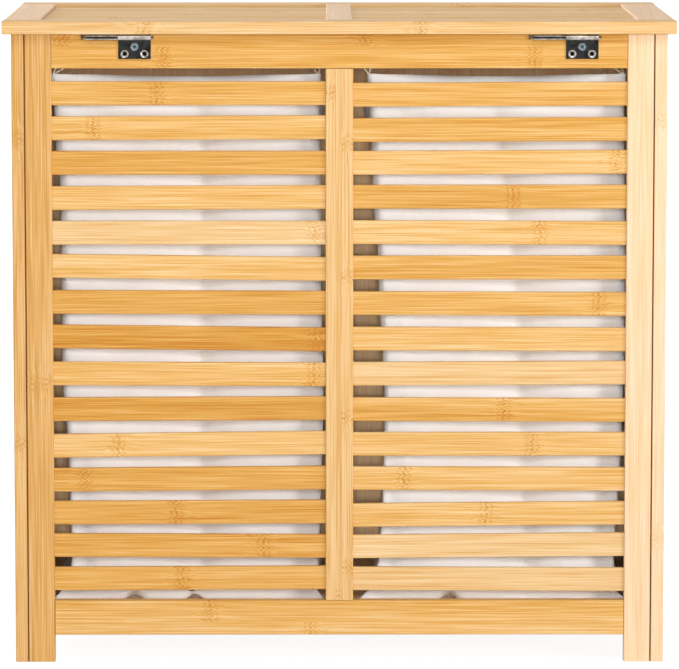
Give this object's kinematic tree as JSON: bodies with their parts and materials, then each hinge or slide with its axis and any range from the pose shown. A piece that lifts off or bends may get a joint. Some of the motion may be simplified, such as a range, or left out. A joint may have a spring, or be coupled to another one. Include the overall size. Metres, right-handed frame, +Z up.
{
  "type": "laundry hamper",
  "caption": "Bamboo laundry hamper with a slatted back, a hinged slatted lid on lift-off hinges, and cloth bags that hang side by side.",
  "frame": {"origin": "on the floor, under the middle of the lid", "axes": "+X is to the right as the hinged, slatted back is looked at, +Y runs from the hinged back to the front that the user faces, +Z is up"},
  "size_m": [0.63, 0.34, 0.608],
  "materials": {
    "bamboo_frame": "clear satin lacquer on laminated bamboo",
    "bamboo_slat": "clear satin lacquer on laminated bamboo",
    "bamboo_panel": "clear satin lacquer on bamboo veneered board",
    "raw_board": "raw thin board",
    "cotton_cloth": "plain woven white cloth",
    "plated_steel": "bright plated pressed steel",
    "zinc_screw": "bright zinc plate"
  },
  "bodies": {
    "case": {"left_back_stile": "bamboo_frame", "right_back_stile": "bamboo_frame", "back_mullion": "bamboo_frame", "back_top_rail": "bamboo_frame", "back_bottom_rail": "bamboo_frame", "left_back_slat_01": "bamboo_slat", "left_back_slat_02": "bamboo_slat", "left_back_slat_03": "bamboo_slat", "left_back_slat_04": "bamboo_slat", "left_back_slat_05": "bamboo_slat", "left_back_slat_06": "bamboo_slat", "left_back_slat_07": "bamboo_slat", "left_back_slat_08": "bamboo_slat", "left_back_slat_09": "bamboo_slat", "left_back_slat_10": "bamboo_slat", "left_back_slat_11": "bamboo_slat", "left_back_slat_12": "bamboo_slat", "left_back_slat_13": "bamboo_slat", "left_back_slat_14": "bamboo_slat", "left_back_slat_15": "bamboo_slat", "right_back_slat_01": "bamboo_slat", "right_back_slat_02": "bamboo_slat", "right_back_slat_03": "bamboo_slat", "right_back_slat_04": "bamboo_slat", "right_back_slat_05": "bamboo_slat", "right_back_slat_06": "bamboo_slat", "right_back_slat_07": "bamboo_slat", "right_back_slat_08": "bamboo_slat", "right_back_slat_09": "bamboo_slat", "right_back_slat_10": "bamboo_slat", "right_back_slat_11": "bamboo_slat", "right_back_slat_12": "bamboo_slat", "right_back_slat_13": "bamboo_slat", "right_back_slat_14": "bamboo_slat", "right_back_slat_15": "bamboo_slat", "left_rear_leg": "bamboo_frame", "left_front_leg": "bamboo_frame", "right_rear_leg": "bamboo_frame", "right_front_leg": "bamboo_frame", "left_side_panel": "bamboo_panel", "right_side_panel": "bamboo_panel", "front_panel": "bamboo_panel", "bottom_board": "raw_board", "left_bag": "cotton_cloth", "right_bag": "cotton_cloth", "left_hinge_case_leaf": "plated_steel", "right_hinge_case_leaf": "plated_steel", "left_hinge_case_screw": "zinc_screw", "right_hinge_case_screw": "zinc_screw"},
    "lid": {"lid_rear_rail": "bamboo_frame", "lid_front_rail": "bamboo_frame", "lid_left_stile": "bamboo_frame", "lid_right_stile": "bamboo_frame", "lid_slats_and_centre_rail": "bamboo_slat", "left_hinge_lid_leaf": "plated_steel", "right_hinge_lid_leaf": "plated_steel", "left_hinge_lid_screw_1": "zinc_screw", "left_hinge_lid_screw_2": "zinc_screw", "right_hinge_lid_screw_1": "zinc_screw", "right_hinge_lid_screw_2": "zinc_screw"}
  },
  "joints": [
    {"name": "lid_hinge", "type": "hinge", "parent": "case", "child": "lid", "pos_m": [0, -0.1651, 0.5929], "axis": [1, 0, 0], "range_deg": [0, 135]}
  ]
}
